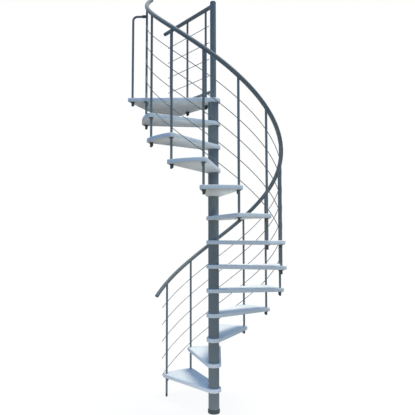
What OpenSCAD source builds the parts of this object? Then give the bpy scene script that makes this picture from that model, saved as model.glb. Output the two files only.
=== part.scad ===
// Spiral staircase: wedge treads and tube spacers stacked on a centre pole,
// balusters through the tread corners, a helical handrail and helical infill rods,
// and a wedge landing with its own guard and hoop post.
// Millimetres, +Z up. The origin is the centre of the column's foot on the floor.
// The stair climbs clockwise when seen from above.

/* [Stair] */
// Number of treads below the landing
tread_count = 12; // [9:1:13]
// Height from one tread top to the next
riser = 233; // [200:1:250]
// Turn from one tread to the next, in degrees
step_turn = 26.2; // [24:0.1:28]
// Azimuth of the first baluster, in degrees from +X
first_azimuth = 138.5; // [90:0.5:180]

/* [Column] */
// Diameter of the centre pole
pole_d = 60; // [50:1:70]
// Wall of the centre pole
pole_wall = 4; // [3:0.5:6]
// Height of the pole over the guard rail's centre line
pole_over = 28; // [20:1:60]
// Height of the cap on the pole
pole_cap_t = 12; // [8:1:20]
// Gap between the pole and the spacer tubes
spacer_gap = 18; // [14:1:24]
// Wall of the spacer tubes
spacer_wall = 4; // [3:0.5:6]
// Width of the base ring outside the spacer tubes
base_lip = 5.5; // [4:0.5:20]
// Height of the base ring
base_h = 38; // [30:1:60]
// Floor left under the pole's socket in the base ring
base_floor = 10; // [6:1:16]
// Wall between the pole's socket and the anchor bolt holes
anchor_wall = 3.3; // [3:0.1:5]
// Diameter of the anchor bolt holes
anchor_hole_d = 11; // [8:0.5:12]
// Number of anchor bolts
anchor_count = 4; // [3:1:6]

/* [Treads] */
// Outer radius of the stair
tread_r = 700; // [690:1:800]
// Thickness of the treads and the landing
tread_t = 37; // [30:1:50]
// Width of a tread's round inner end outside the spacer tubes
hub_lip = 18; // [12:1:28]
// Radius of a tread's outer corners
corner_r = 32; // [26:1:36]

/* [Landing] */
// Turn of the landing from its front post to its guard, in degrees
landing_turn = 52.4; // [46:0.1:60]
// Turn from the last baluster to the landing's front post, in degrees
landing_lead = 1.2; // [0.8:0.1:1.8]
// Distance of the landing's outer corners past the hoop post
landing_end = 31; // [26:1:80]
// Distance of the landing's edges from the lines of its posts
landing_margin = 25; // [24:1:40]
// Radius of the landing's outer corners
landing_corner_r = 12; // [6:1:20]

/* [Balusters] */
// Diameter of the balusters and posts
baluster_d = 22; // [16:0.5:24]
// Distance of the balusters from the treads' outer edge
baluster_inset = 40; // [34:1:48]
// Length of the baluster that shows below a tread
stub_len = 42; // [40:1:60]
// Length of the cap that makes a baluster's lower end
end_cap_len = 34; // [20:1:38]

/* [Clamps] */
// Width of the flange outside the baluster
flange_lip = 11; // [8:0.5:13]
// Thickness of the flange
flange_t = 6; // [4:0.5:8]
// Height of the clamp's lug, flange included
lug_h = 34; // [24:1:38]
// Depth of the lug beside the baluster
lug_depth = 8; // [6:0.5:10]
// Width of the lug
lug_w = 13; // [10:0.5:16]

/* [Handrail] */
// Diameter of the handrails
rail_d = 40; // [34:1:44]
// Height of the handrail's centre over a tread, at its baluster
rail_height = 950; // [900:1:1000]
// Turn of the handrail past the first baluster, in degrees
rail_low_turn = 14; // [8:0.5:18]
// Turn of the handrail past the last baluster, in degrees
rail_high_turn = 17.5; // [8:0.5:20]
// Thickness of the rail end caps
rail_cap_t = 9; // [7:0.5:12]

/* [Rods] */
// Number of infill rods
rod_count = 5; // [4:1:5]
// Diameter of the infill rods
rod_d = 7; // [5:0.5:8]
// Height of the lowest rod over a tread, at its baluster
rod_first = 52; // [40:1:60]
// Distance of the highest rod under the handrail
rod_drop = 206; // [160:1:240]
// Turn of the rods past the end balusters, in degrees
rod_turn = 6; // [3:0.5:8]

/* [Landing guard] */
// Height of the guard rail's centre over the landing
guard_height = 962; // [900:1:1000]
// Length of the guard rail past the landing's outer corner
guard_overhang = 18; // [0:1:60]
// Distance of the guard's inner post from a tread's round inner end
guard_inner_gap = 45; // [42:1:70]
// Distance of the guard's outer post from the landing's outer corner
guard_outer_inset = 98; // [40:1:140]
// Height of the guard's foot rail over the landing
foot_rail_height = 85; // [60:1:120]
// Diameter of the guard's foot rail
foot_rail_d = 30; // [26:1:40]
// Number of guard rods
guard_rod_count = 4; // [3:1:4]
// Height of the lowest guard rod over the foot rail
guard_rod_rise = 171; // [120:1:200]
// Distance of the highest guard rod under the guard rail
guard_rod_drop = 187; // [150:1:220]
// Length of the guard rods past the end posts
guard_rod_past = 50; // [40:1:55]

/* [Hoop post] */
// Distance of the hoop post from the last baluster
hoop_reach = 137; // [110:1:200]
// Distance of the hoop's level arm under the handrail
hoop_drop = 120; // [60:1:140]
// Radius of the bend, on the tube's centre line
hoop_bend = 40; // [30:1:60]
// Wall of the sleeve at the last baluster
sleeve_wall = 3.3; // [3:0.1:6]
// Length of the sleeve
sleeve_len = 36; // [24:1:50]

/* [Hidden] */
// Clearance on radius where one piece passes through another
fit = 0.2;
// Extra length that carries a cut clear of a face
cut = 1;
// Step between an arc and the straight edge that leaves it, so that the two cross cleanly
seam = 0.01;
// Length by which a straight bar runs into its bend
bend_lap = 0.5;
// Edge rounding of turned caps and rings
edge_r = 5;
// Edge rounding of the small caps on baluster ends
end_cap_edge = 3;
// Sides and rings of the swept tubes
rail_sides = 12;
rail_rings = 6;
rod_sides = 8;
rod_rings = 5;
$fn = 48;

metal_colour = [0.34, 0.40, 0.45];
dark_colour = [0.12, 0.14, 0.16];
tread_colour = [0.90, 0.93, 0.96];

landing_z = (tread_count + 1) * riser;
guard_z = landing_z + guard_height;
pole_top = guard_z + pole_over;
socket_d = pole_d + 2 * fit;
spacer_d = pole_d + 2 * (spacer_gap + spacer_wall);
base_d = spacer_d + 2 * base_lip;
anchor_pcd = socket_d + anchor_hole_d + 2 * anchor_wall;
hub_r = spacer_d / 2 + hub_lip;
baluster_r = tread_r - baluster_inset;
baluster_hole_r = baluster_d / 2 + fit;
rail_pitch = atan(riser / (baluster_r * step_turn * PI / 180));
last_azimuth = azimuth(tread_count);
front_azimuth = last_azimuth - landing_lead;
guard_azimuth = front_azimuth - landing_turn;
hoop_r = baluster_r + hoop_reach;
landing_r = hoop_r + landing_end;
guard_inner = hub_r + guard_inner_gap;
guard_outer = landing_r - guard_outer_inset;
guard_end = landing_r + guard_overhang;
guard_places = [guard_inner, (guard_inner + guard_outer) / 2, guard_outer];

function pad(n) = n < 10 ? str("0", n) : str(n);
function tread_name(k) = str("tread_", pad(k));
function baluster_name(k) = str("baluster_", pad(k));
function rod_name(i) = str("rod_", i);
function guard_post_name(i) = str("guard_post_", i);

// Azimuth after a number of steps up from the first baluster
function azimuth(steps) = first_azimuth - steps * step_turn;
function polar(radius, angle) = [radius * cos(angle), radius * sin(angle)];
function at_height(point, z) = [point[0], point[1], z];

// Height of a line that rises with the treads, at a number of steps from the first baluster
function climb(steps, height) = (1 + steps) * riser + height;

// Point on a helix over the baluster circle
function helix_point(steps, height) = at_height(polar(baluster_r, azimuth(steps)), climb(steps, height));

// One ring of a swept helical tube, square to the tube's run
function helix_ring(steps, height, radius, sides) =
    let (
        centre = helix_point(steps, height),
        turn = azimuth(steps),
        outward = [cos(turn), sin(turn), 0],
        upward = [-sin(rail_pitch) * sin(turn), sin(rail_pitch) * cos(turn), cos(rail_pitch)]
    )
    [for (j = [0:sides - 1]) let (angle = 360 * j / sides - 90)
        centre + radius * (cos(angle) * outward + sin(angle) * upward)];

// Places of the rings: both ends, and an even pattern between them
function ring_steps(low, high, rings, offset) = concat(
    [low],
    [for (i = [ceil(low * rings - offset + 0.1):floor(high * rings - offset - 0.1)]) (i + offset) / rings],
    [high]
);

// Closed tube swept along a helix
module helix_tube(height, radius, sides, places) {
    last = len(places) - 1;
    points = [for (place = places) each helix_ring(place, height, radius, sides)];
    walls = [for (i = [0:last - 1]) for (j = [0:sides - 1])
        let (a = i * sides + j, b = i * sides + (j + 1) % sides)
        each [[a, a + sides, b + sides], [a, b + sides, b]]];
    low_end = [[for (j = [0:sides - 1]) j]];
    high_end = [[for (j = [sides - 1:-1:0]) last * sides + j]];
    polyhedron(points = points, faces = concat(walls, low_end, high_end));
}

// Turns a piece that points along +Z so that it points up along the handrail
module along_helix(steps, height, radius = baluster_r) {
    turn = azimuth(steps);
    translate(at_height(polar(radius, turn), climb(steps, height)))
        rotate([0, 90 - rail_pitch, turn - 90])
            children();
}

// Turns a piece that points along +Z so that it points out along the guard
module along_guard(distance, z) {
    translate(at_height(polar(distance, guard_azimuth), z))
        rotate([0, 90, guard_azimuth])
            children();
}

// Normal direction of the line that touches circles a and b on the right of the way from a to b
function touch_angle(a, b) =
    atan2(b[1] - a[1], b[0] - a[0]) - acos((a[2] - b[2]) / norm([b[0] - a[0], b[1] - a[1]]));
function touch_point(circle, angle) = [circle[0], circle[1]] + polar(circle[2], angle);

// Outline stretched round circles [x, y, radius] that are given anticlockwise
module stretched_outline(circles) {
    count = len(circles);
    cores = [for (c = circles) [c[0], c[1], c[2] - seam]];
    polygon([for (i = [0:count - 1])
        let (a = cores[i], b = cores[(i + 1) % count], angle = touch_angle(a, b))
        each [touch_point(a, angle), touch_point(b, angle)]]);
    for (c = circles)
        translate([c[0], c[1]])
            circle(c[2]);
}

// Turned disc with a rounded upper edge
module rounded_disc(radius, height, edge) {
    rotate_extrude() {
        square([radius - edge, height]);
        square([radius, height - edge]);
        intersection() {
            translate([radius - edge, height - edge])
                circle(edge);
            square([radius + cut, height + cut]);
        }
    }
}

// Tube that stands on the pole
module tube(outer_d, inner_d, z, height) {
    translate([0, 0, z])
        difference() {
            cylinder(d = outer_d, h = height);
            translate([0, 0, -cut])
                cylinder(d = inner_d, h = height + 2 * cut);
        }
}

// Column

module base_ring() {
    color(dark_colour)
        difference() {
            rounded_disc(base_d / 2, base_h, edge_r);
            translate([0, 0, base_floor])
                cylinder(d = socket_d, h = base_h);
            for (i = [0:anchor_count - 1])
                rotate(360 * (i + 0.5) / anchor_count)
                    translate([anchor_pcd / 2, 0, -cut])
                        cylinder(d = anchor_hole_d, h = base_h + 2 * cut);
        }
}

module centre_pole() {
    color(metal_colour)
        tube(pole_d, pole_d - 2 * pole_wall, base_floor, pole_top - base_floor);
}

module pole_cap() {
    color(dark_colour)
        translate([0, 0, pole_top])
            rounded_disc(pole_d / 2, pole_cap_t, edge_r);
}

module column_spacers() {
    color(metal_colour)
        for (k = [0:tread_count]) {
            foot = k == 0 ? base_h : k * riser;
            tube(spacer_d, spacer_d - 2 * spacer_wall, foot, (k + 1) * riser - tread_t - foot);
        }
}

// Treads and landing

module pole_hole(z) {
    translate([0, 0, z])
        cylinder(d = socket_d, h = tread_t + 2 * cut);
}

module baluster_hole(place, z) {
    translate(at_height(place, z))
        cylinder(r = baluster_hole_r, h = tread_t + 2 * cut);
}

module tread_outline(k) {
    front = azimuth(k - 1);
    back = azimuth(k);
    corner_centre = tread_r - corner_r;
    stretched_outline([
        [0, 0, hub_r],
        concat(polar(corner_centre, back), corner_r),
        concat(polar(corner_centre, front), corner_r)
    ]);
    intersection() {
        circle(tread_r - seam);
        polygon([[0, 0], polar(2 * tread_r, back), polar(2 * tread_r, front)]);
    }
}

module tread(k) {
    underside = k * riser - tread_t;
    color(tread_colour)
        difference() {
            translate([0, 0, underside])
                linear_extrude(tread_t)
                    tread_outline(k);
            pole_hole(underside - cut);
            for (steps = [k - 1, k])
                baluster_hole(polar(baluster_r, azimuth(steps)), underside - cut);
        }
}

// Corner of the landing beside one of its post lines; side is 1 in front of the line, -1 behind it
function landing_corner(turn, side) = concat(
    polar(landing_r, turn) + polar(landing_margin - landing_corner_r, turn + 90 * side),
    landing_corner_r
);

module landing() {
    underside = landing_z - tread_t;
    color(tread_colour)
        difference() {
            translate([0, 0, underside])
                linear_extrude(tread_t)
                    stretched_outline([
                        [0, 0, hub_r],
                        landing_corner(guard_azimuth, -1),
                        landing_corner(front_azimuth, 1)
                    ]);
            pole_hole(underside - cut);
            baluster_hole(polar(baluster_r, last_azimuth), underside - cut);
            baluster_hole(polar(hoop_r, front_azimuth), underside - cut);
            for (distance = guard_places)
                baluster_hole(polar(distance, guard_azimuth), underside - cut);
        }
}

// Balusters

// Lower end of a baluster's bar, where its cap starts
function baluster_foot(k) = end_cap_len + (k == 1 ? 0 : (k - 1) * riser - tread_t - stub_len);
landing_post_foot = end_cap_len + landing_z - tread_t - stub_len;

// Plain bar between two heights
module post(place, foot, top) {
    translate(at_height(place, foot))
        cylinder(d = baluster_d, h = top - foot);
}

module baluster(k) {
    steps = k - 1;
    chord_r = baluster_r * cos(step_turn / rod_rings / 2);
    color(metal_colour)
        difference() {
            post(polar(baluster_r, azimuth(steps)), baluster_foot(k), climb(steps, rail_height));
            along_helix(steps, rail_height)
                cylinder(d = rail_d + 2 * fit, h = 4 * rail_d, center = true);
            for (i = [1:rod_count])
                along_helix(steps, rod_height(i), chord_r)
                    cylinder(d = rod_d + 2 * fit, h = 3 * baluster_d, center = true);
        }
}

// Cap that hangs on the lower end of a bar
module end_cap(place, z) {
    translate(at_height(place, z))
        rotate([180, 0, 0])
            rounded_disc(baluster_d / 2, end_cap_len, end_cap_edge);
}

module baluster_caps() {
    color(dark_colour) {
        for (k = [1:tread_count + 1])
            end_cap(polar(baluster_r, azimuth(k - 1)), baluster_foot(k));
        end_cap(polar(hoop_r, front_azimuth), landing_post_foot);
        for (distance = guard_places)
            end_cap(polar(distance, guard_azimuth), landing_post_foot);
    }
}

// Flange under a tread corner, with a lug that points to the inside of the tread
module clamp(place, underside, lug_azimuth) {
    translate(at_height(place, underside))
        difference() {
            union() {
                translate([0, 0, -flange_t])
                    cylinder(d = baluster_d + 2 * flange_lip, h = flange_t);
                rotate(lug_azimuth)
                    translate([0, -lug_w / 2, -lug_h])
                        cube([baluster_d / 2 + lug_depth, lug_w, lug_h]);
            }
            translate([0, 0, -lug_h - cut])
                cylinder(r = baluster_hole_r, h = lug_h + 2 * cut);
        }
}

module front_clamps() {
    color(dark_colour)
        for (k = [1:tread_count])
            clamp(polar(baluster_r, azimuth(k - 1)), k * riser - tread_t, azimuth(k - 1) - 135);
}

module back_clamps() {
    color(dark_colour)
        for (k = [1:tread_count])
            clamp(polar(baluster_r, azimuth(k)), k * riser - tread_t, azimuth(k) + 135);
}

module landing_clamps() {
    underside = landing_z - tread_t;
    color(dark_colour) {
        clamp(polar(baluster_r, last_azimuth), underside, last_azimuth - 135);
        clamp(polar(hoop_r, front_azimuth), underside, front_azimuth - 135);
        for (distance = guard_places)
            clamp(polar(distance, guard_azimuth), underside, guard_azimuth - 135);
    }
}

// Handrail and rods

rail_low = -rail_low_turn / step_turn;
rail_high = tread_count + rail_high_turn / step_turn;

module handrail() {
    color(metal_colour)
        helix_tube(rail_height, rail_d / 2, rail_sides, ring_steps(rail_low, rail_high, rail_rings, 0));
}

// Cap just off the end of a rail that points along +Z
module rail_cap() {
    translate([0, 0, fit])
        rounded_disc(rail_d / 2, rail_cap_t - fit, edge_r);
}

module rail_caps() {
    color(dark_colour) {
        along_helix(rail_low, rail_height)
            rotate([180, 0, 0])
                rail_cap();
        along_helix(rail_high, rail_height)
            rail_cap();
        along_guard(guard_end, guard_z)
            rail_cap();
    }
}

rod_gap = (rail_height - rod_drop - rod_first) / (rod_count - 1);
function rod_height(i) = rod_first + (i - 1) * rod_gap;

module rod(i) {
    past = rod_turn / step_turn;
    color(metal_colour)
        helix_tube(rod_height(i), rod_d / 2, rod_sides,
            ring_steps(-past, tread_count + past, rod_rings, 0.5));
}

// Landing guard and hoop

module guard_post(i) {
    color(metal_colour)
        difference() {
            post(polar(guard_places[i - 1], guard_azimuth), landing_post_foot, guard_z);
            along_guard(guard_places[i - 1], guard_z)
                cylinder(d = rail_d + 2 * fit, h = 4 * rail_d, center = true);
            for (j = [1:guard_rod_count])
                along_guard(guard_places[i - 1], guard_rod_z(j))
                    cylinder(d = rod_d + 2 * fit, h = 3 * baluster_d, center = true);
        }
}

// Level tube from the pole outwards, hollowed at its end to sit against the pole
module level_rail(diameter, z, end) {
    difference() {
        along_guard(0, z)
            cylinder(d = diameter, h = end);
        translate([0, 0, z - diameter])
            cylinder(d = socket_d, h = 2 * diameter);
    }
}

module guard_rail() {
    color(metal_colour)
        level_rail(rail_d, guard_z, guard_end);
}

module guard_foot_rail() {
    rail_z = landing_z + foot_rail_height;
    color(metal_colour)
        difference() {
            level_rail(foot_rail_d, rail_z, guard_outer + guard_rod_past);
            for (distance = guard_places)
                translate(at_height(polar(distance, guard_azimuth), rail_z))
                    cylinder(r = baluster_hole_r, h = 2 * foot_rail_d, center = true);
        }
}

guard_rod_low = landing_z + foot_rail_height + guard_rod_rise;
guard_rod_gap = (guard_z - guard_rod_drop - guard_rod_low) / (guard_rod_count - 1);
function guard_rod_z(j) = guard_rod_low + (j - 1) * guard_rod_gap;

module guard_rods() {
    color(metal_colour)
        for (j = [1:guard_rod_count])
            along_guard(guard_inner - guard_rod_past, guard_rod_z(j))
                cylinder(d = rod_d, h = guard_outer - guard_inner + 2 * guard_rod_past);
}

// The hoop's level arm runs from the front post to the last baluster
hoop_foot = polar(hoop_r, front_azimuth);
hoop_arm = polar(baluster_r, last_azimuth) - hoop_foot;
hoop_arm_azimuth = atan2(hoop_arm[1], hoop_arm[0]);
hoop_z = climb(tread_count, rail_height) - hoop_drop;
sleeve_d = 2 * (baluster_hole_r + sleeve_wall);

// Places a piece at the corner where the post's line and the arm's line cross
module at_hoop_corner() {
    translate(at_height(hoop_foot, hoop_z))
        rotate(hoop_arm_azimuth)
            children();
}

module last_baluster_cut() {
    translate(at_height(polar(baluster_r, last_azimuth), hoop_z))
        cylinder(r = baluster_hole_r, h = 2 * sleeve_d, center = true);
}

module hoop_post() {
    color(metal_colour)
        difference() {
            union() {
                post(hoop_foot, landing_post_foot, hoop_z - hoop_bend + bend_lap);
                at_hoop_corner() {
                    translate([hoop_bend, 0, -hoop_bend])
                        rotate([90, 0, 0])
                            rotate(90)
                                rotate_extrude(angle = 90)
                                    translate([hoop_bend, 0])
                                        circle(r = baluster_d / 2 + 2 * seam);
                    translate([hoop_bend - bend_lap, 0, 0])
                        rotate([0, 90, 0])
                            cylinder(d = baluster_d, h = norm(hoop_arm) - hoop_bend + bend_lap);
                }
            }
            last_baluster_cut();
        }
}

module hoop_sleeve() {
    color(dark_colour)
        difference() {
            at_hoop_corner()
                translate([norm(hoop_arm) - baluster_d / 2 - sleeve_len, 0, 0])
                    rotate([0, 90, 0])
                        difference() {
                            cylinder(d = sleeve_d, h = sleeve_len + baluster_d / 2);
                            translate([0, 0, -cut])
                                cylinder(r = baluster_hole_r, h = sleeve_len + baluster_d);
                        }
            last_baluster_cut();
        }
}

base_ring();
centre_pole();
pole_cap();
column_spacers();
landing();
for (k = [1:tread_count])
    tread(k);
for (k = [1:tread_count + 1])
    baluster(k);
baluster_caps();
front_clamps();
back_clamps();
landing_clamps();
handrail();
rail_caps();
for (i = [1:rod_count])
    rod(i);
hoop_post();
hoop_sleeve();
for (i = [1:len(guard_places)])
    guard_post(i);
guard_rail();
guard_foot_rail();
guard_rods();
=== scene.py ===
# %% [markdown]
# # Dressing a spiral staircase
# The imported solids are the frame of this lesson. They already have every size right, so the scene never
# moves them. Solids with the right shape keep it and get a better finish. Boards, rails, rods and fittings
# are made again here with the softened edges, true curves and small joints that a maker gives them, and
# each new piece stands for the solid that it replaces.

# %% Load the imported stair
import math

import bmesh
import bpy
from mathutils import Matrix, Vector
from mathutils.geometry import tessellate_polygon


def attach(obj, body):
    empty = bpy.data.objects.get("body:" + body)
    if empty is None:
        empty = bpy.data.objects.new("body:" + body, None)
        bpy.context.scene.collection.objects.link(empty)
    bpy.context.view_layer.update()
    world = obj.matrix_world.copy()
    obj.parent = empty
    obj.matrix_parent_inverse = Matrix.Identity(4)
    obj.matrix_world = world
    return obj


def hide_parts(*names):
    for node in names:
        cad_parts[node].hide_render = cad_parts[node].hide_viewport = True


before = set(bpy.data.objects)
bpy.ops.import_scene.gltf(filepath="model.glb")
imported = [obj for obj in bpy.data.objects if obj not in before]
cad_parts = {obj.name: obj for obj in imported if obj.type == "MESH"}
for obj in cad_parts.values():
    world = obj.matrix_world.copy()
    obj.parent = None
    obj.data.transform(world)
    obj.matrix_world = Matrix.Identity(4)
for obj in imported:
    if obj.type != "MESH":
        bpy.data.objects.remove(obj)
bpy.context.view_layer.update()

# %% [markdown]
# ## The camera comes first
# The photograph was taken 4.4 m in front of the column, at the eye height of a standing person, with a
# normal lens tilted up by four degrees. With the camera in place from the start, every later step can be
# judged through it.

# %% Camera at the photograph's view
EYE = (-0.010, -4.448, 1.658)
TILT_UP = 3.785
TURN_LEFT = 0.620
LEAN = -0.090
SENSOR = 36.0
FOCAL_PIXELS = 455.38
PICTURE_PIXELS = 415

scene = bpy.context.scene
lens = bpy.data.cameras.new("view")
lens.sensor_width = SENSOR
lens.lens = FOCAL_PIXELS * SENSOR / PICTURE_PIXELS
view = bpy.data.objects.new("view", lens)
view.location = EYE
aim = Matrix.Rotation(math.radians(TURN_LEFT), 4, "Z") @ Matrix.Rotation(math.radians(90 + TILT_UP), 4, "X")
view.rotation_euler = (aim @ Matrix.Rotation(math.radians(LEAN), 4, "Z")).to_euler()
scene.collection.objects.link(view)
scene.camera = view
print("lens:", round(lens.lens, 2), "mm")

# %% [markdown]
# ## Sizes
# The pieces below repeat these sizes from the solids, in metres and degrees. A tread's place follows from
# its number alone: each one stands a riser higher and a fixed turn further on, clockwise when seen from
# above.

# %% Sizes of the stair
TREAD_COUNT = 12
RISER = 0.233
STEP_TURN = 26.2
FIRST_AZIMUTH = 138.5
LANDING_TURN = 52.4
LANDING_LEAD = 1.2

BOARD = 0.037
TREAD_R = 0.700
HUB_R = 0.070
CORNER_R = 0.032
LANDING_R = 0.828
LANDING_MARGIN = 0.025
LANDING_CORNER_R = 0.012

POLE_R = 0.030
SPACER_R = 0.052
SPACER_WALL = 0.004
BASE_R = 0.0575
BASE_H = 0.038

BALUSTER_R = 0.011
BALUSTER_CIRCLE = 0.660
STUB = 0.042
FIT = 0.0002
HOOP_R = 0.797
GUARD_PLACES = (0.115, 0.4225, 0.730)

RAIL_R = 0.020
RAIL_HEIGHT = 0.950
GUARD_HEIGHT = 0.962
GUARD_END = 0.846
FOOT_RAIL_R = 0.015
FOOT_RAIL_HEIGHT = 0.085
POLE_OVER = 0.028

LANDING_Z = (TREAD_COUNT + 1) * RISER


def azimuth(steps):
    """Direction, in degrees, after a number of steps up from the first baluster."""
    return FIRST_AZIMUTH - steps * STEP_TURN


def polar(radius, angle, z=0.0):
    """Point at a distance from the column's axis."""
    turn = math.radians(angle)
    return Vector((radius * math.cos(turn), radius * math.sin(turn), z))


LAST_AZIMUTH = azimuth(TREAD_COUNT)
FRONT_AZIMUTH = LAST_AZIMUTH - LANDING_LEAD
GUARD_AZIMUTH = FRONT_AZIMUTH - LANDING_TURN
print("landing at", round(LANDING_Z, 3), "m, guard at", round(GUARD_AZIMUTH % 360, 1), "degrees")

# %% [markdown]
# ## Three finishes from shared effects
# The stair has three finishes: satin slate paint on the metal, white lacquer on the wooden boards, and matt
# dark plastic on the caps and clamps. They share what happens to any surface over time, so each such effect
# is a node group that is built once: a slow drift in tone, wear along rims, dust on what faces up, and a
# fine skin texture. A group only puts out masks and heights. The shader itself stays in each material.

# %% Helpers for shader nodes
def node_in(tree, kind, **settings):
    """New node with its properties set."""
    made = tree.nodes.new(kind)
    for key, value in settings.items():
        setattr(made, key, value)
    return made


def noise_in(tree, scale, detail, roughness=0.5):
    """Noise texture with fixed values; scale may be a socket."""
    made = node_in(tree, "ShaderNodeTexNoise")
    made.inputs["Detail"].default_value = detail
    made.inputs["Roughness"].default_value = roughness
    if isinstance(scale, (int, float)):
        made.inputs["Scale"].default_value = scale
    else:
        tree.links.new(scale, made.inputs["Scale"])
    return made


def spread(tree, value, low, high, to_low=0.0, to_high=1.0):
    """Value mapped from one span to another and clamped."""
    made = node_in(tree, "ShaderNodeMapRange", clamp=True)
    tree.links.new(value, made.inputs["Value"])
    for socket, number in zip(("From Min", "From Max", "To Min", "To Max"), (low, high, to_low, to_high)):
        made.inputs[socket].default_value = number
    return made.outputs["Result"]


def product(tree, first, second):
    """Two values multiplied; the second may be a number."""
    made = node_in(tree, "ShaderNodeMath", operation="MULTIPLY")
    tree.links.new(first, made.inputs[0])
    if isinstance(second, (int, float)):
        made.inputs[1].default_value = second
    else:
        tree.links.new(second, made.inputs[1])
    return made.outputs["Value"]


def new_group(name, inputs, outputs):
    """Empty node group with float inputs and outputs, and its two end nodes."""
    tree = bpy.data.node_groups.new(name, "ShaderNodeTree")
    for socket, value in inputs.items():
        tree.interface.new_socket(socket, in_out="INPUT", socket_type="NodeSocketFloat").default_value = value
    for socket in outputs:
        tree.interface.new_socket(socket, in_out="OUTPUT", socket_type="NodeSocketFloat")
    return tree, tree.nodes.new("NodeGroupInput"), tree.nodes.new("NodeGroupOutput")


print("shader helpers ready")

# %% Slow drift in tone, as a group
CLOUD_SPAN = (0.32, 0.68)

drift, start, end = new_group("tone_drift", {"Scale": 3.0}, ["Mask"])
place = node_in(drift, "ShaderNodeTexCoord")
cloud = noise_in(drift, start.outputs["Scale"], detail=3.0)
drift.links.new(place.outputs["Object"], cloud.inputs["Vector"])
drift.links.new(spread(drift, cloud.outputs["Fac"], *CLOUD_SPAN), end.inputs["Mask"])
print("group:", drift.name)

# %% Wear along rims, as a group
GRIT_SPAN = (0.45, 0.7)

wear, start, end = new_group("rim_wear", {"Amount": 0.5, "Grit": 60.0}, ["Mask"])
rim = node_in(wear, "ShaderNodeAttribute", attribute_name="rim")
place = node_in(wear, "ShaderNodeTexCoord")
grit = noise_in(wear, start.outputs["Grit"], detail=6.0, roughness=0.65)
wear.links.new(place.outputs["Object"], grit.inputs["Vector"])
broken = product(wear, rim.outputs["Fac"], spread(wear, grit.outputs["Fac"], *GRIT_SPAN))
wear.links.new(product(wear, broken, start.outputs["Amount"]), end.inputs["Mask"])
print("group:", wear.name)

# %% Dust on what faces up, as a group
UPWARD_SPAN = (0.35, 1.0)
FLUFF_SPAN = (0.3, 0.75)
FLUFF_SCALE = 45.0

dust, start, end = new_group("settled_dust", {"Amount": 0.3}, ["Mask"])
facing = node_in(dust, "ShaderNodeNewGeometry")
height = node_in(dust, "ShaderNodeSeparateXYZ")
dust.links.new(facing.outputs["Normal"], height.inputs["Vector"])
place = node_in(dust, "ShaderNodeTexCoord")
fluff = noise_in(dust, FLUFF_SCALE, detail=5.0, roughness=0.6)
dust.links.new(place.outputs["Object"], fluff.inputs["Vector"])
upward = spread(dust, height.outputs["Z"], *UPWARD_SPAN)
lying = product(dust, upward, spread(dust, fluff.outputs["Fac"], *FLUFF_SPAN))
dust.links.new(product(dust, lying, start.outputs["Amount"]), end.inputs["Mask"])
print("group:", dust.name)

# %% Fine skin texture, as a group
skin, start, end = new_group("fine_skin", {"Scale": 400.0}, ["Height"])
place = node_in(skin, "ShaderNodeTexCoord")
peel = noise_in(skin, start.outputs["Scale"], detail=2.0, roughness=0.4)
skin.links.new(place.outputs["Object"], peel.inputs["Vector"])
skin.links.new(peel.outputs["Fac"], end.inputs["Height"])
print("group:", skin.name)

# %% [markdown]
# ## Putting a finish together
# Each finish starts from one base colour. Masks then mix in a second tone, worn rims and dust, and shift
# the roughness a little, so that no highlight is perfectly even. The skin group feeds a Bump node.

# %% Helpers for finishes
def new_finish(name):
    """Material with an empty Principled shader."""
    made = bpy.data.materials.new(name)
    made.use_nodes = True
    return made, made.node_tree, made.node_tree.nodes["Principled BSDF"]


def effect(tree, group, **values):
    """A shared effect, placed with its own values; gives its one output."""
    made = node_in(tree, "ShaderNodeGroup", node_tree=group)
    for socket, value in values.items():
        made.inputs[socket].default_value = value
    return made.outputs[0]


def tinted(tree, mask, under, over):
    """Colour that goes from under to over with a mask; under may be a colour or a socket."""
    made = node_in(tree, "ShaderNodeMix", data_type="RGBA")
    tree.links.new(mask, made.inputs["Factor"])
    if isinstance(under, tuple):
        made.inputs["A"].default_value = (*under, 1)
    else:
        tree.links.new(under, made.inputs["A"])
    made.inputs["B"].default_value = (*over, 1)
    return made.outputs["Result"]


def raised(tree, shader, height, strength, distance):
    """Bump from a height, on the shader's normal."""
    made = node_in(tree, "ShaderNodeBump")
    made.inputs["Strength"].default_value = strength
    made.inputs["Distance"].default_value = distance
    tree.links.new(height, made.inputs["Height"])
    tree.links.new(made.outputs["Normal"], shader.inputs["Normal"])


print("finish helpers ready")

# %% Satin slate paint
SLATE = (0.187, 0.215, 0.227)
SLATE_LIGHT = (0.212, 0.241, 0.252)
SLATE_WORN = (0.31, 0.32, 0.34)
SLATE_ROUGHNESS = (0.40, 0.52)
SLATE_SHINE = 0.1
DUST = (0.52, 0.54, 0.55)

slate_paint, tree, shader = new_finish("slate_paint")
tone = tinted(tree, effect(tree, drift, Scale=2.2), SLATE, SLATE_LIGHT)
tone = tinted(tree, effect(tree, wear, Amount=0.55, Grit=90.0), tone, SLATE_WORN)
tone = tinted(tree, effect(tree, dust, Amount=0.16), tone, DUST)
tree.links.new(tone, shader.inputs["Base Color"])
uneven = spread(tree, effect(tree, drift, Scale=14.0), 0, 1, *SLATE_ROUGHNESS)
tree.links.new(uneven, shader.inputs["Roughness"])
shader.inputs["Specular IOR Level"].default_value = SLATE_SHINE
raised(tree, shader, effect(tree, skin, Scale=520.0), strength=0.16, distance=0.0004)
print("finish:", slate_paint.name)

# %% Matt dark plastic
DARK = (0.033, 0.050, 0.060)
DARK_LIGHT = (0.044, 0.064, 0.075)
DARK_WORN = (0.090, 0.103, 0.110)
DARK_ROUGHNESS = (0.50, 0.64)

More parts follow.
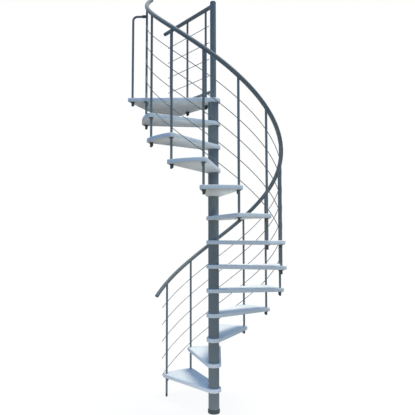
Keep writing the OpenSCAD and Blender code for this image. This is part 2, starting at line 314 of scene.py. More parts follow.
dark_plastic, tree, shader = new_finish("dark_plastic")
tone = tinted(tree, effect(tree, drift, Scale=9.0), DARK, DARK_LIGHT)
tone = tinted(tree, effect(tree, wear, Amount=0.6, Grit=160.0), tone, DARK_WORN)
tone = tinted(tree, effect(tree, dust, Amount=0.12), tone, DUST)
tree.links.new(tone, shader.inputs["Base Color"])
uneven = spread(tree, effect(tree, drift, Scale=30.0), 0, 1, *DARK_ROUGHNESS)
tree.links.new(uneven, shader.inputs["Roughness"])
raised(tree, shader, effect(tree, skin, Scale=1500.0), strength=0.25, distance=0.0003)
print("finish:", dark_plastic.name)

# %% [markdown]
# ## White lacquer over wood
# The boards are painted white, but the wood still shows a little: long pores run along each board under the
# lacquer. The boards point in thirteen directions, so each one carries its own coordinates in an attribute
# named board, with the first axis along the grain. Noise that is stretched along that axis gives the pores.

# %% White lacquer
LACQUER = (0.80, 0.84, 0.875)
LACQUER_SHADE = (0.755, 0.80, 0.845)
LACQUER_WORN = (0.66, 0.69, 0.70)
LACQUER_ROUGHNESS = (0.50, 0.62)
LACQUER_SHINE = 0.15
GRAIN_STRETCH = (5.0, 95.0, 95.0)
PORE_SPAN = (0.35, 0.75)
PORE_SHADE = 0.5
DRIFT_SHADE = 0.35

white_lacquer, tree, shader = new_finish("white_lacquer")
own = node_in(tree, "ShaderNodeAttribute", attribute_name="board")
stretch = node_in(tree, "ShaderNodeMapping")
stretch.inputs["Scale"].default_value = GRAIN_STRETCH
tree.links.new(own.outputs["Vector"], stretch.inputs["Vector"])
pores = noise_in(tree, 1.0, detail=4.0, roughness=0.6)
tree.links.new(stretch.outputs["Vector"], pores.inputs["Vector"])
deep = spread(tree, pores.outputs["Fac"], *PORE_SPAN, 0.0, PORE_SHADE)
tone = tinted(tree, deep, LACQUER, LACQUER_SHADE)
tone = tinted(tree, product(tree, effect(tree, drift, Scale=1.7), DRIFT_SHADE), tone, LACQUER_SHADE)
tone = tinted(tree, effect(tree, wear, Amount=0.2, Grit=55.0), tone, LACQUER_WORN)
tree.links.new(tone, shader.inputs["Base Color"])
uneven = spread(tree, effect(tree, drift, Scale=11.0), 0, 1, *LACQUER_ROUGHNESS)
tree.links.new(uneven, shader.inputs["Roughness"])
shader.inputs["Specular IOR Level"].default_value = LACQUER_SHINE
raised(tree, shader, pores.outputs["Fac"], strength=0.12, distance=0.0005)
print("finish:", white_lacquer.name)

# %% [markdown]
# ## Stock: gathering the parts of one piece
# Many pieces are sets of like parts, such as twelve clamps. Their points and faces are gathered in one
# stock and become one mesh at the end. Each point also carries its rim value, from 0 on a plain face to 1
# on an edge, which the wear group reads.

# %% Stock and pieces
CREASE = 38


def new_stock():
    """Points, faces and rim values of a piece that is being made."""
    return {"points": [], "faces": [], "rim": []}


def add_part(stock, part, place=None):
    """Adds a part (points, faces, rim values), set in its place."""
    points, faces, rims = part
    first = len(stock["points"])
    stock["points"] += [place @ Vector(p) if place else Vector(p) for p in points]
    stock["faces"] += [[first + i for i in face] for face in faces]
    stock["rim"] += rims


def make_piece(name, stock, finish, slot, *replaced):
    """Turns a stock into a shown piece that rides on the stair and stands for its solids."""
    mesh = bpy.data.meshes.new(name)
    mesh.from_pydata(stock["points"], [], stock["faces"])
    mesh.attributes.new("rim", "FLOAT", "POINT").data.foreach_set("value", stock["rim"])
    shaped = bmesh.new()
    shaped.from_mesh(mesh)
    bmesh.ops.recalc_face_normals(shaped, faces=shaped.faces)
    shaped.to_mesh(mesh)
    shaped.free()
    mesh.shade_smooth()
    mesh.set_sharp_from_angle(angle=math.radians(CREASE))
    mesh.materials.append(finish)
    piece = bpy.data.objects.new(name, mesh)
    scene.collection.objects.link(piece)
    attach(piece, "root")
    if replaced:
        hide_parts(*replaced)
    print(name, "faces:", len(mesh.polygons))
    return piece


print("edges sharper than", CREASE, "degrees stay crisp")

# %% [markdown]
# ## Boards with softened edges
# A board is a flat outline with thickness, holes for the pole and the balusters, and edges that are rounded
# over. A Bevel modifier would also do this, but the outline here is made of arcs, and an arc moves inwards
# exactly when its radius shrinks. So the board is a stack of such outlines: each level of the rounded edge
# is the same outline, a little further in. A band just inside the edge keeps the wear near the rim.

# %% Rings, loops and boards
EDGE_STEPS = 4
BAND = 0.010
HOLE_EASE = 0.0010
HOLE_BAND = 0.0045
HOLE_SIDES = 32


def arc(centre, radius, start, end, steps, ends=True):
    """Arc of an outline; a negative radius makes it hollow."""
    return centre, radius, start, end, steps, ends


def ring(arcs, inset):
    """Points of an outline of arcs, moved inwards."""
    points = []
    for centre, radius, start, end, steps, ends in arcs:
        for i in range(0 if ends else 1, steps + 1 if ends else steps):
            turn = math.radians(start + (end - start) * i / steps)
            reach = radius - inset
            points.append((centre[0] + reach * math.cos(turn), centre[1] + reach * math.sin(turn)))
    return points


def circle_ring(centre, radius):
    """Points of a round hole."""
    return ring([arc(centre, radius, 0, 360, HOLE_SIDES)], 0)[:-1]


def board(arcs, holes, underside, thickness, edge, band=BAND):
    """Flat part with rounded edges; holes are (centre, radius)."""
    levels = [(edge + band, underside, 0.0)]
    for i in range(EDGE_STEPS + 1):
        turn = math.pi / 2 * i / EDGE_STEPS
        levels.append((edge * (1 - math.sin(turn)), underside + edge * (1 - math.cos(turn)), 1.0))
    levels += [(inset, 2 * underside + thickness - z, rim) for inset, z, rim in reversed(levels)]
    loops = [lambda inset: ring(arcs, inset)]
    for centre, radius in holes:
        def hole_loop(inset, centre=centre, radius=radius):
            inside = min(inset, edge) / edge * HOLE_EASE
            past = HOLE_BAND if inset > edge else 0.0
            return circle_ring(centre, radius + inside + past)
        loops.append(hole_loop)
    points, faces, rims, starts = [], [], [], []
    for loop in loops:
        rows = [loop(inset) for inset, _, _ in levels]
        count = len(rows[0])
        first = len(points)
        starts.append((first, count))
        for row, (_, z, rim) in zip(rows, levels):
            points += [(x, y, z) for x, y in row]
            rims += [rim] * count
        for level in range(len(levels) - 1):
            low, high = first + level * count, first + (level + 1) * count
            for i in range(count):
                j = (i + 1) % count
                faces.append([low + i, low + j, high + j, high + i])
    for level in (0, len(levels) - 1):
        flat = [range(first + level * count, first + (level + 1) * count) for first, count in starts]
        index = [i for span in flat for i in span]
        outlines = [[Vector(points[i]) for i in span] for span in flat]
        faces += [[index[i] for i in face] for face in tessellate_polygon(outlines)]
    return points, faces, rims


print("a board's edge has", EDGE_STEPS, "steps")

# %% [markdown]
# ## Treads
# On the real stair a tread is a wedge: round where it sits on the column, with two round outer corners that
# take the balusters, and a curved outer end. Its straight sides touch those circles, so the outline is
# found from the lines that touch two circles at once.

# %% Treads
TREAD_EDGE = 0.0045
ARC_STEPS = 14
LONG_ARC_STEPS = 24
GRAIN_SHIFT = 2.3
POLE_HOLE = POLE_R + FIT
BALUSTER_HOLE = BALUSTER_R + FIT


def touch_angle(a, b):
    """Direction from a circle to the line that touches circles a and b, right of the way from a to b."""
    way = Vector((b[0] - a[0], b[1] - a[1]))
    return math.degrees(math.atan2(way.y, way.x) - math.acos((a[2] - b[2]) / way.length))


def wedge(hub, back, front, outer=None):
    """Outline of a wedge round three circles, with a curved outer end where a radius is given."""
    side_back = touch_angle(hub, back)
    side_front = touch_angle(front, hub)
    if outer:
        turn_back = math.degrees(math.atan2(back[1], back[0]))
        turn_back += 360 * round((side_back - turn_back) / 360)
        turn_front = math.degrees(math.atan2(front[1], front[0]))
        turn_front += 360 * math.ceil((turn_back - turn_front) / 360)
    else:
        turn_back = turn_front = touch_angle(back, front)
    side_front += 360 * math.ceil((turn_front - side_front) / 360)
    side_back += 360 * math.floor((turn_back - side_back) / 360)
    arcs = [arc(back, back[2], side_back, turn_back, ARC_STEPS)]
    if outer:
        arcs.append(arc((0, 0), outer, turn_back, turn_front, LONG_ARC_STEPS, False))
    arcs.append(arc(front, front[2], turn_front, side_front, ARC_STEPS))
    arcs.append(arc(hub, hub[2], side_front, side_back + 360, LONG_ARC_STEPS))
    return arcs


def write_grain(piece, along, number):
    """Gives a board its own coordinates, first axis along its grain, shifted so that no two boards match."""
    direction = polar(1, along)
    across = Vector((-direction.y, direction.x, 0))
    spots = []
    for vertex in piece.data.vertices:
        spots += [vertex.co.dot(direction) + GRAIN_SHIFT * number, vertex.co.dot(across), vertex.co.z]
    piece.data.attributes.new("board", "FLOAT_VECTOR", "POINT").data.foreach_set("vector", spots)


hub_circle = (0, 0, HUB_R)
for k in range(1, TREAD_COUNT + 1):
    corners = [(*polar(TREAD_R - CORNER_R, azimuth(steps)).xy, CORNER_R) for steps in (k, k - 1)]
    holes = [((0, 0), POLE_HOLE)]
    holes += [(polar(BALUSTER_CIRCLE, azimuth(steps)).xy, BALUSTER_HOLE) for steps in (k, k - 1)]
    stock = new_stock()
    add_part(stock, board(wedge(hub_circle, *corners, TREAD_R), holes, k * RISER - BOARD, BOARD, TREAD_EDGE))
    tread = make_piece(f"tread_board_{k:02d}", stock, white_lacquer, "white_lacquer", f"tread_{k:02d}")
    write_grain(tread, azimuth(k - 0.5), k)

# %% Landing
def landing_corner(turn, side):
    """Outer corner of the landing beside one of its post lines."""
    spot = polar(LANDING_R, turn) + polar(LANDING_MARGIN - LANDING_CORNER_R, turn + 90 * side)
    return spot.x, spot.y, LANDING_CORNER_R


stock = new_stock()
corners = landing_corner(GUARD_AZIMUTH, -1), landing_corner(FRONT_AZIMUTH, 1)
post_places = [polar(BALUSTER_CIRCLE, LAST_AZIMUTH), polar(HOOP_R, FRONT_AZIMUTH)]
post_places += [polar(distance, GUARD_AZIMUTH) for distance in GUARD_PLACES]
holes = [((0, 0), POLE_HOLE)] + [(place.xy, BALUSTER_HOLE) for place in post_places]
add_part(stock, board(wedge(hub_circle, *corners), holes, LANDING_Z - BOARD, BOARD, TREAD_EDGE))
landing = make_piece("landing_board", stock, white_lacquer, "white_lacquer", "landing")
write_grain(landing, FRONT_AZIMUTH - LANDING_TURN / 2, TREAD_COUNT + 1)

# %% [markdown]
# ## Turned parts
# The spacer tubes, the foot, the pole's cap, the caps on baluster ends and the rails' plugs are all round.
# A turned part is a profile that goes once round an axis. A profile that starts and ends on the axis gives
# a solid, and a closed one gives a tube. Every profile point is a radius, a height and a rim value.

# %% Turning
TURN_SIDES = 64
FINE_STEPS = 3
ROUND_STEPS = 6


def turned(profile, sides=TURN_SIDES, hollow=False):
    """Part made by turning a profile of (radius, height, rim) points."""
    points, faces, rims, rows = [], [], [], []
    for radius, z, rim in profile:
        first = len(points)
        count = sides if radius > 0 else 1
        for i in range(count):
            turn = 2 * math.pi * i / sides
            points.append((radius * math.cos(turn), radius * math.sin(turn), z))
        rims += [rim] * count
        rows.append((first, count))
    following = rows[1:] + rows[:1] if hollow else rows[1:]
    for (low, low_count), (high, high_count) in zip(rows, following):
        for i in range(sides):
            j = (i + 1) % sides
            if low_count == 1:
                faces.append([low, high + j, high + i])
            elif high_count == 1:
                faces.append([low + i, low + j, high])
            else:
                faces.append([low + i, low + j, high + j, high + i])
    return points, faces, rims


def rounding(radius, z, edge, from_angle, to_angle, steps):
    """Points of a rounded corner of a profile, round the centre (radius, z), all on the rim."""
    angles = [math.radians(from_angle + (to_angle - from_angle) * i / steps) for i in range(steps + 1)]
    return [(radius + edge * math.cos(a), z + edge * math.sin(a), 1.0) for a in angles]


print("turned parts have", TURN_SIDES, "sides")

# %% Spacer tubes
SPACER_EDGE = 0.0012
RIM_FADE = 0.006

stock = new_stock()
inner, outer = SPACER_R - SPACER_WALL, SPACER_R
for k in range(TREAD_COUNT + 1):
    low = BASE_H if k == 0 else k * RISER
    high = (k + 1) * RISER - BOARD
    profile = [(inner, low, 0.0)]
    profile += rounding(outer - SPACER_EDGE, low + SPACER_EDGE, SPACER_EDGE, -90, 0, FINE_STEPS)
    profile += [(outer, low + RIM_FADE, 0.0), (outer, high - RIM_FADE, 0.0)]
    profile += rounding(outer - SPACER_EDGE, high - SPACER_EDGE, SPACER_EDGE, 0, 90, FINE_STEPS)
    profile += [(inner, high, 0.0)]
    add_part(stock, turned(profile, hollow=True))
make_piece("spacer_tubes", stock, slate_paint, "slate_paint", "column_spacers")

# %% [markdown]
# ## Foot and caps
# The column's foot is a dark ring with a long rounded shoulder. The pole ends in a low dome, with a fine
# groove under it. The lower ends of the balusters are closed by dark caps, rounded at the tip.

# %% Foot ring
FOOT_EDGE = 0.0015
FOOT_SHOULDER = 0.016
FOOT_FLOOR = 0.010
SHOULDER_STEPS = 8
SHOULDER_RIM = 0.5

profile = [(0.0, 0.0, 0.0)] + rounding(BASE_R - FOOT_EDGE, FOOT_EDGE, FOOT_EDGE, -90, 0, FINE_STEPS)
for i in range(SHOULDER_STEPS + 1):
    turn = math.pi / 2 * i / SHOULDER_STEPS
    radius = SPACER_R + (BASE_R - SPACER_R) * math.cos(turn)
    profile.append((radius, BASE_H - FOOT_SHOULDER * (1 - math.sin(turn)), SHOULDER_RIM))
profile += [(POLE_HOLE, BASE_H, 0.0), (POLE_HOLE, FOOT_FLOOR, 0.0), (0.0, FOOT_FLOOR, 0.0)]
stock = new_stock()
add_part(stock, turned(profile))
make_piece("foot_ring", stock, dark_plastic, "dark_fittings", "base_ring")

# %% Pole cap
CAP_H = 0.012
CAP_GROOVE = 0.0008
CAP_LIP = (POLE_R, 0.0012, 0.6)
CAP_EDGE = 0.006
CAP_ROUND = CAP_EDGE * 0.85
CAP_TURN = (8, 80)
CAP_DOME = ((POLE_R * 0.55, CAP_H * 0.96, 0.2), (POLE_R * 0.25, CAP_H * 0.99, 0.0), (0.0, CAP_H, 0.0))
POLE_TOP = LANDING_Z + GUARD_HEIGHT + POLE_OVER

neck = POLE_R - CAP_GROOVE
profile = [(0.0, 0.0, 0.0), (neck, 0.0, 0.0), (neck, CAP_GROOVE, 0.0), CAP_LIP]
profile += rounding(POLE_R - CAP_EDGE, CAP_EDGE, CAP_ROUND, *CAP_TURN, ROUND_STEPS)
profile += CAP_DOME
stock = new_stock()
add_part(stock, turned(profile), Matrix.Translation((0, 0, POLE_TOP)))
make_piece("pole_dome", stock, dark_plastic, "dark_fittings", "pole_cap")

# %% Caps on the lower ends of balusters and posts
END_CAP = 0.034
END_TIP = 0.005
END_TAPER = 0.003
END_STEP = 0.0006
END_SIDES = 32

profile = [(0.0, 0.0, 0.0)] + rounding(BALUSTER_R - END_TIP, END_TIP, END_TIP, -90, 0, ROUND_STEPS)
profile += [(BALUSTER_R, END_CAP - END_TAPER, 0.0), (BALUSTER_R - END_STEP, END_CAP, 0.4)]
profile += [(0.0, END_CAP, 0.0)]
end_cap = turned(profile, END_SIDES)
stock = new_stock()
for k in range(1, TREAD_COUNT + 2):
    foot = 0.0 if k == 1 else (k - 1) * RISER - BOARD - STUB
    add_part(stock, end_cap, Matrix.Translation(polar(BALUSTER_CIRCLE, azimuth(k - 1), foot)))
for place in post_places[1:]:
    add_part(stock, end_cap, Matrix.Translation((place.x, place.y, LANDING_Z - BOARD - STUB)))
make_piece("baluster_end_caps", stock, dark_plastic, "dark_fittings", "baluster_caps")

# %% [markdown]
# ## Clamps under the corners
# Each baluster is held under a tread's corner by a dark clamp: a thin round flange against the board, and a
# lug beside the baluster with a small screw. Flange and lug are flat parts with rounded edges, so the
# function that makes boards makes them too. The lug is hollowed to the baluster's radius, by an arc with a
# negative radius. The screw's profile gives shares of its radius.

# %% One clamp
FLANGE_R = 0.022
FLANGE_T = 0.006
FLANGE_EDGE = 0.0016
FLANGE_BAND = 0.003
FLANGE_SIDES = 40
LUG_H = 0.034
LUG_REACH = 0.019
LUG_W = 0.013
LUG_CORNER = 0.003
LUG_CORNER_STEPS = 5
LUG_BITE_STEPS = 8
LUG_EDGE = 0.0012
LUG_BAND = 0.0008
SCREW_R = 0.0034
SCREW_SIDES = 18
SCREW_SINK = 0.0002
SCREW_DOWN = LUG_H * 0.6
SCREW_PROFILE = (
    (0.0, 0.0, 0.0), (1.0, 0.0, 0.0), (1.0, 0.0008, 1.0), (0.8, 0.0016, 1.0),
    (0.5, 0.0017, 0.5), (0.45, 0.0005, 0.0), (0.0, 0.0005, 0.0),
)

half = LUG_W / 2
bite = math.degrees(math.asin(half / BALUSTER_HOLE))
far = LUG_REACH - LUG_CORNER
lug_arcs = [
    arc((far, -half + LUG_CORNER), LUG_CORNER, -90, 0, LUG_CORNER_STEPS),
    arc((far, half - LUG_CORNER), LUG_CORNER, 0, 90, LUG_CORNER_STEPS),
    arc((0, 0), -BALUSTER_HOLE, bite - 180, -bite - 180, LUG_BITE_STEPS),
]
flange_arcs = [arc((0, 0), FLANGE_R, 0, 360 - 360 / FLANGE_SIDES, FLANGE_SIDES - 1)]
flange_hole = ((0, 0), BALUSTER_HOLE)
clamp_parts = [
    board(flange_arcs, [flange_hole], -FLANGE_T, FLANGE_T - FIT, FLANGE_EDGE, FLANGE_BAND),
    board(lug_arcs, [], -LUG_H, LUG_H - FLANGE_T, LUG_EDGE, LUG_BAND),
]
screw = turned([(SCREW_R * share, z, rim) for share, z, rim in SCREW_PROFILE], SCREW_SIDES)
outwards = Matrix.Rotation(math.radians(90), 4, "Y")
screw_place = Matrix.Translation((LUG_REACH - SCREW_SINK, 0, -SCREW_DOWN)) @ outwards


def add_clamp(stock, place, underside, lug_azimuth):
    """Puts a clamp under a board, with its lug turned to a direction."""
    seat = Matrix.Translation((place.x, place.y, underside))
    seat = seat @ Matrix.Rotation(math.radians(lug_azimuth), 4, "Z")
    for part in clamp_parts:
        add_part(stock, part, seat)
    add_part(stock, screw, seat @ screw_place)


print("a clamp has", sum(len(part[1]) for part in clamp_parts), "faces")

# %% All clamps
LUG_TURN = 135

front_stock, back_stock, landing_stock = new_stock(), new_stock(), new_stock()
for k in range(1, TREAD_COUNT + 1):
    underside = k * RISER - BOARD
    front, back = azimuth(k - 1), azimuth(k)
    add_clamp(front_stock, polar(BALUSTER_CIRCLE, front), underside, front - LUG_TURN)
    add_clamp(back_stock, polar(BALUSTER_CIRCLE, back), underside, back + LUG_TURN)
post_turns = [LAST_AZIMUTH, FRONT_AZIMUTH] + [GUARD_AZIMUTH] * len(GUARD_PLACES)
for place, turn in zip(post_places, post_turns):
    add_clamp(landing_stock, place, LANDING_Z - BOARD, turn - LUG_TURN)
make_piece("front_clamp_set", front_stock, dark_plastic, "dark_fittings", "front_clamps")
make_piece("back_clamp_set", back_stock, dark_plastic, "dark_fittings", "back_clamps")
make_piece("landing_clamp_set", landing_stock, dark_plastic, "dark_fittings", "landing_clamps")

# %% [markdown]
# ## The helical handrail
# This is the piece that takes the most skill on the real stair: one steel tube rolled so that it bends and
# climbs at once. In the scene it is a round section carried along a list of points on the helix. A curve
# with a bevel would twist freely, so the section is placed here with one side always turned outwards from
# the column.

# %% Sweeping a round section along a path
UP = Vector((0, 0, 1))
DOME_TURNS = (40, 70)


def sweep(path, radius, sides, reference, closed=False, domed=False):
    """Tube along a list of points; reference is a direction that the path never follows."""
    points, faces, rows = [], [], []
    last = len(path) - 1
    sections = [(path[i], 1.0, path[(i + 1) % len(path)] - path[i - 1]) for i in range(len(path))]
    if not closed:
        sections[0] = (path[0], 1.0, path[1] - path[0])
        sections[-1] = (path[last], 1.0, path[last] - path[last - 1])
        if domed:
            low, high = sections[0], sections[-1]
            for turn in (math.radians(a) for a in DOME_TURNS):
                shift, share = radius * math.sin(turn), math.cos(turn)
                sections.insert(0, (low[0] - low[2].normalized() * shift, share, low[2]))
                sections.append((high[0] + high[2].normalized() * shift, share, high[2]))
    for centre, share, way in sections:
        side = way.cross(reference).normalized()
        rise = side.cross(way).normalized()
        rows.append(len(points))
        for i in range(sides):
            turn = 2 * math.pi * i / sides
            points.append(centre + radius * share * (math.cos(turn) * side + math.sin(turn) * rise))
    following = rows[1:] + rows[:1] if closed else rows[1:]
    for low, high in zip(rows, following):
        for i in range(sides):
            j = (i + 1) % sides
            faces.append([low + i, low + j, high + j, high + i])
    if not closed:
        faces.append([rows[0] + i for i in reversed(range(sides))])
        faces.append([rows[-1] + i for i in range(sides)])
    return points, faces, [0.0] * len(points)


def helix_point(steps, height, radius=BALUSTER_CIRCLE):
    """Point on a helix that climbs with the treads."""
    return polar(radius, azimuth(steps), (1 + steps) * RISER + height)


def helix_path(height, low, high, rings, radius=BALUSTER_CIRCLE):
    """Points along such a helix, from one number of steps to another."""
    count = round((high - low) * rings)
    return [helix_point(low + (high - low) * i / count, height, radius) for i in range(count + 1)]


slope = math.atan(RISER / (BALUSTER_CIRCLE * math.radians(STEP_TURN)))
print("helix rises", round(math.degrees(slope), 1), "degrees")

# %% Handrail
RAIL_LEAD = 14
RAIL_TAIL = 17.5
RAIL_RINGS = 20
RAIL_SIDES = 40

rail_low = -RAIL_LEAD / STEP_TURN
rail_high = TREAD_COUNT + RAIL_TAIL / STEP_TURN
rail_path = helix_path(RAIL_HEIGHT, rail_low, rail_high, RAIL_RINGS)
stock = new_stock()
add_part(stock, sweep(rail_path, RAIL_R, RAIL_SIDES, UP))
make_piece("handrail_tube", stock, slate_paint, "slate_paint", "handrail")

# %% Plugs in the rail ends, painted with the rail
PLUG = 0.009
PLUG_GAP = 0.0004
PLUG_NECK = RAIL_R - 0.001
PLUG_LIP = (RAIL_R, PLUG_GAP + 0.0008, 0.8)
PLUG_ROUND = 0.006
PLUG_SHOULDER = PLUG - 0.0065
PLUG_TURN = (4, 75)
PLUG_FACE = ((RAIL_R * 0.4, PLUG - 0.0002, 0.0), (0.0, PLUG, 0.0))

profile = [(0.0, PLUG_GAP, 0.0), (PLUG_NECK, PLUG_GAP, 0.0), PLUG_LIP]
profile += rounding(RAIL_R - PLUG_ROUND, PLUG_SHOULDER, PLUG_ROUND, *PLUG_TURN, ROUND_STEPS)
profile += PLUG_FACE
plug = turned(profile, RAIL_SIDES)


def seat_along(point, way):
    """Placement that turns a part from +Z to a direction, at a point."""
    return Matrix.Translation(point) @ way.to_track_quat("Z", "Y").to_matrix().to_4x4()


guard_way = polar(1, GUARD_AZIMUTH)
stock = new_stock()
add_part(stock, plug, seat_along(rail_path[0], rail_path[0] - rail_path[1]))
add_part(stock, plug, seat_along(rail_path[-1], rail_path[-1] - rail_path[-2]))
add_part(stock, plug, seat_along(guard_way * GUARD_END + UP * (LANDING_Z + GUARD_HEIGHT), guard_way))
make_piece("rail_end_plugs", stock, slate_paint, "slate_paint", "rail_caps")

# %% [markdown]
# ## Infill rods
# Five thin rods follow the handrail from the first baluster to the last and pass through a drilled hole in
# each. They are swept like the rail. Their circle is a hair smaller than that of the balusters, because the
# drilled holes are straight and a rod takes the chord in them.

# %% Helical rods
ROD_R = 0.0035
ROD_HEIGHTS = (0.052, 0.225, 0.398, 0.571, 0.744)
ROD_LEAD = 6
ROD_CIRCLE = 0.6595
ROD_RINGS = 12
ROD_SIDES = 12

past = ROD_LEAD / STEP_TURN
for number, height in enumerate(ROD_HEIGHTS, 1):
    stock = new_stock()
    path = helix_path(height, -past, TREAD_COUNT + past, ROD_RINGS, ROD_CIRCLE)
    add_part(stock, sweep(path, ROD_R, ROD_SIDES, UP, domed=True))
    make_piece(f"infill_rod_{number}", stock, slate_paint, "slate_paint", f"rod_{number}")

# %% [markdown]
# ## Weld beads
# A baluster's top is hollowed to the shape of the rail and welded to it. The weld is a small bead along the
# line where the two tubes meet. That line is found exactly: for each direction round the thin tube, the
# point whose distance from the thick tube's axis equals the thick tube's radius.

# %% Beads where tubes meet
BEAD_R = 0.0016
BEAD_STEPS = 28
BEAD_SIDES = 8
SHORT_WAY = 0.01


def bead(centre, branch_way, branch_r, main_way, main_r):
    """Bead where a branch tube, running along branch_way from centre, leaves a main tube."""
    first = branch_way.orthogonal().normalized()
    second = branch_way.cross(first).normalized()
    lean = branch_way.dot(main_way)
    path = []
    for i in range(BEAD_STEPS):
        turn = 2 * math.pi * i / BEAD_STEPS
        off = branch_r * (math.cos(turn) * first + math.sin(turn) * second)
        a = 1 - lean ** 2
        b = -off.dot(main_way) * lean
        c = off.length_squared - off.dot(main_way) ** 2 - main_r ** 2
        reach = (-b + math.sqrt(b * b - a * c)) / a
        path.append(centre + off + branch_way * reach)
    return sweep(path, BEAD_R, BEAD_SIDES, branch_way, closed=True)


stock = new_stock()
for steps in range(TREAD_COUNT + 1):
    ahead, behind = (helix_point(steps + way, RAIL_HEIGHT) for way in (SHORT_WAY, -SHORT_WAY))
    along = (ahead - behind).normalized()
    add_part(stock, bead(helix_point(steps, RAIL_HEIGHT), -UP, BALUSTER_R, along, RAIL_R))
for distance in GUARD_PLACES:
    top = guard_way * distance + UP * (LANDING_Z + GUARD_HEIGHT)
    add_part(stock, bead(top, -UP, BALUSTER_R, guard_way, RAIL_R))
for height, radius in ((GUARD_HEIGHT, RAIL_R), (FOOT_RAIL_HEIGHT, FOOT_RAIL_R)):
    add_part(stock, bead(UP * (LANDING_Z + height), guard_way, radius, UP, POLE_R))
make_piece("weld_beads", stock, slate_paint, "slate_paint")

# %% [markdown]
# ## Finishes for the solids that stay
# The pole, the balusters, the guard and the hoop post have their true shape in the solids already: plain
# bars with hollowed tops and drilled holes. They keep their meshes and only take the finish. The sleeve
# that joins the hoop post to the last baluster is a dark fitting, and all others are slate.

# %% Finish the remaining solids
for name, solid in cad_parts.items():
    if not solid.hide_render:
        solid.data.materials.clear()
        solid.data.materials.append(dark_plastic if name == "hoop_sleeve" else slate_paint)
        print("kept:", name)

# %% [markdown]
# ## Light
# The photograph has soft warm light from above, a little from the right, and a dim blue light from all
# sides, so a board is white where it sees the sky and blue where the next board shades it. A broad sun
# gives the first and the world the second. The camera and reflections see a plain white room: Light Path
# tells their rays from the rays that carry light.

# %% White room for the camera, cool light for the stair
AMBIENT = (0.328, 0.591, 1.0)
AMBIENT_LEVEL = 0.685


def seen_rays(tree):
    """Value that is 1 for camera, glossy and transmission rays."""
    rays = node_in(tree, "ShaderNodeLightPath")
    total = rays.outputs["Is Camera Ray"]
    for other in ("Is Glossy Ray", "Is Transmission Ray"):
        larger = node_in(tree, "ShaderNodeMath", operation="MAXIMUM")
        tree.links.new(total, larger.inputs[0])
        tree.links.new(rays.outputs[other], larger.inputs[1])
        total = larger.outputs["Value"]
    return total


room = bpy.data.worlds.new("room")
room.use_nodes = True
scene.world = room
tree = room.node_tree
cool = tree.nodes["Background"]
cool.inputs["Color"].default_value = (*AMBIENT, 1)
cool.inputs["Strength"].default_value = AMBIENT_LEVEL
white = node_in(tree, "ShaderNodeBackground")
white.inputs["Color"].default_value = (1, 1, 1, 1)
choice = node_in(tree, "ShaderNodeMixShader")
tree.links.new(seen_rays(tree), choice.inputs["Fac"])
tree.links.new(cool.outputs["Background"], choice.inputs[1])
tree.links.new(white.outputs["Background"], choice.inputs[2])
tree.links.new(choice.outputs["Shader"], tree.nodes["World Output"].inputs["Surface"])
print("ambient level:", AMBIENT_LEVEL)

# %% Overhead light
SUN_LEVEL = 3.29
SUN_SPREAD = 34
SUN_COLOUR = (1.0, 0.917, 0.701)
TO_SUN = (0.2415, 0.0125, 0.970)

lamp = bpy.data.lights.new("overhead", "SUN")
lamp.energy = SUN_LEVEL
lamp.angle = math.radians(SUN_SPREAD)
lamp.color = SUN_COLOUR
overhead = bpy.data.objects.new("overhead", lamp)
overhead.rotation_euler = Vector(TO_SUN).to_track_quat("Z", "Y").to_euler()
scene.collection.objects.link(overhead)
print("overhead light:", lamp.energy)

# %% [markdown]
# ## Light from the floor
# The sunlit floor sends warm light back. Near the foot it lights the column and the lowest boards from
# close by, and further out it lights the undersides and every edge and bar that faces outwards. Round lamps
# stand for it: one lies on the floor beside the foot, and four stand low on the four sides, the strongest
# in front. All are kept out of what the camera and reflections see.

# %% Lamps for the floor's light
GLOW_WATTS = 4.7
GLOW_WIDTH = 1.6
GLOW_PLACE = (-0.25, -0.35, 0.001)
GLOW_COLOUR = (1.0, 0.934, 0.916)
FRONT_WATTS = 24.0
SIDE_WATTS = 9.6
LAMP_WIDTH = 0.6
LAMP_HEIGHT = 0.3
LAMP_LIFT = 0.8
LAMP_COLOUR = (1.0, 0.962, 0.735)
LAMPS = {
    "floor_front": (0.2, -3.2, FRONT_WATTS),
    "floor_left": (-3.2, 0.5, SIDE_WATTS),
    "floor_right": (3.2, 0.5, SIDE_WATTS),
    "floor_back": (0.0, 3.2, SIDE_WATTS),
}


def hidden_disc(name, watts, width, colour, place, way):
    """Round lamp that the camera and reflections don't see."""
    lamp = bpy.data.lights.new(name, "AREA")
    lamp.shape = "DISK"
    lamp.size = width
    lamp.energy = watts
    lamp.color = colour
    disc = bpy.data.objects.new(name, lamp)
    disc.location = place
    disc.rotation_euler = Vector(way).to_track_quat("-Z", "Y").to_euler()
    disc.visible_camera = disc.visible_glossy = disc.visible_transmission = False
    scene.collection.objects.link(disc)
    print(name, watts, "W")


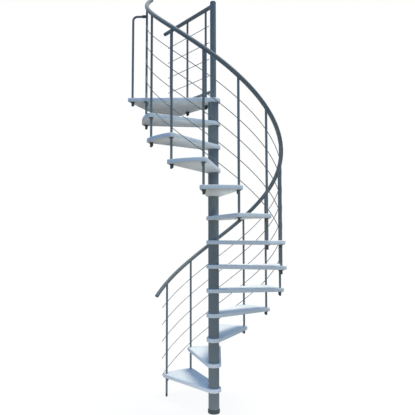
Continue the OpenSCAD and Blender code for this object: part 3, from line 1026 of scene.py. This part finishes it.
hidden_disc("floor_glow", GLOW_WATTS, GLOW_WIDTH, GLOW_COLOUR, GLOW_PLACE, UP)
for name, (x, y, watts) in LAMPS.items():
    hidden_disc(name, watts, LAMP_WIDTH, LAMP_COLOUR, (x, y, LAMP_HEIGHT), (-x, -y, LAMP_LIFT))

# %% [markdown]
# ## Floor
# The floor is white to the camera and keeps a faint shadow of the stair: most of what the camera sees is
# plain white, and the small rest is lit like any surface. It sends no light back, because the lamps stand
# for that. It lies a hair below the foot, so that the two faces don't share one plane.

# %% Floor
FLOOR_HALF = 14.0
FLOOR_DROP = 0.0004
FLOOR_BOUNCE = (0.0, 0.0, 0.0)
FLOOR_PLAIN = 0.93

paving = bpy.data.materials.new("floor_white")
paving.use_nodes = True
tree = paving.node_tree
tree.nodes.remove(tree.nodes["Principled BSDF"])
plain = node_in(tree, "ShaderNodeEmission")
lit = node_in(tree, "ShaderNodeBsdfDiffuse")
lit.inputs["Color"].default_value = (1, 1, 1, 1)
shown = node_in(tree, "ShaderNodeMixShader")
shown.inputs["Fac"].default_value = FLOOR_PLAIN
tree.links.new(lit.outputs["BSDF"], shown.inputs[1])
tree.links.new(plain.outputs["Emission"], shown.inputs[2])
bounce = node_in(tree, "ShaderNodeBsdfDiffuse")
bounce.inputs["Color"].default_value = (*FLOOR_BOUNCE, 1)
choice = node_in(tree, "ShaderNodeMixShader")
tree.links.new(seen_rays(tree), choice.inputs["Fac"])
tree.links.new(bounce.outputs["BSDF"], choice.inputs[1])
tree.links.new(shown.outputs["Shader"], choice.inputs[2])
tree.links.new(choice.outputs["Shader"], tree.nodes["Material Output"].inputs["Surface"])

corners = [(FLOOR_HALF * x, FLOOR_HALF * y, 0) for x, y in ((-1, -1), (1, -1), (1, 1), (-1, 1))]
ground = bpy.data.meshes.new("floor")
ground.from_pydata(corners, [], [(0, 1, 2, 3)])
ground.materials.append(paving)
floor = bpy.data.objects.new("floor", ground)
floor.location.z = -FLOOR_DROP
scene.collection.objects.link(floor)
print("floor:", 2 * FLOOR_HALF, "m wide")

# %% [markdown]
# ## Colour view
# Colours are shown with the Standard view, so that a colour renders about as it is written.

# %% Colour view
scene.view_settings.view_transform = "Standard"
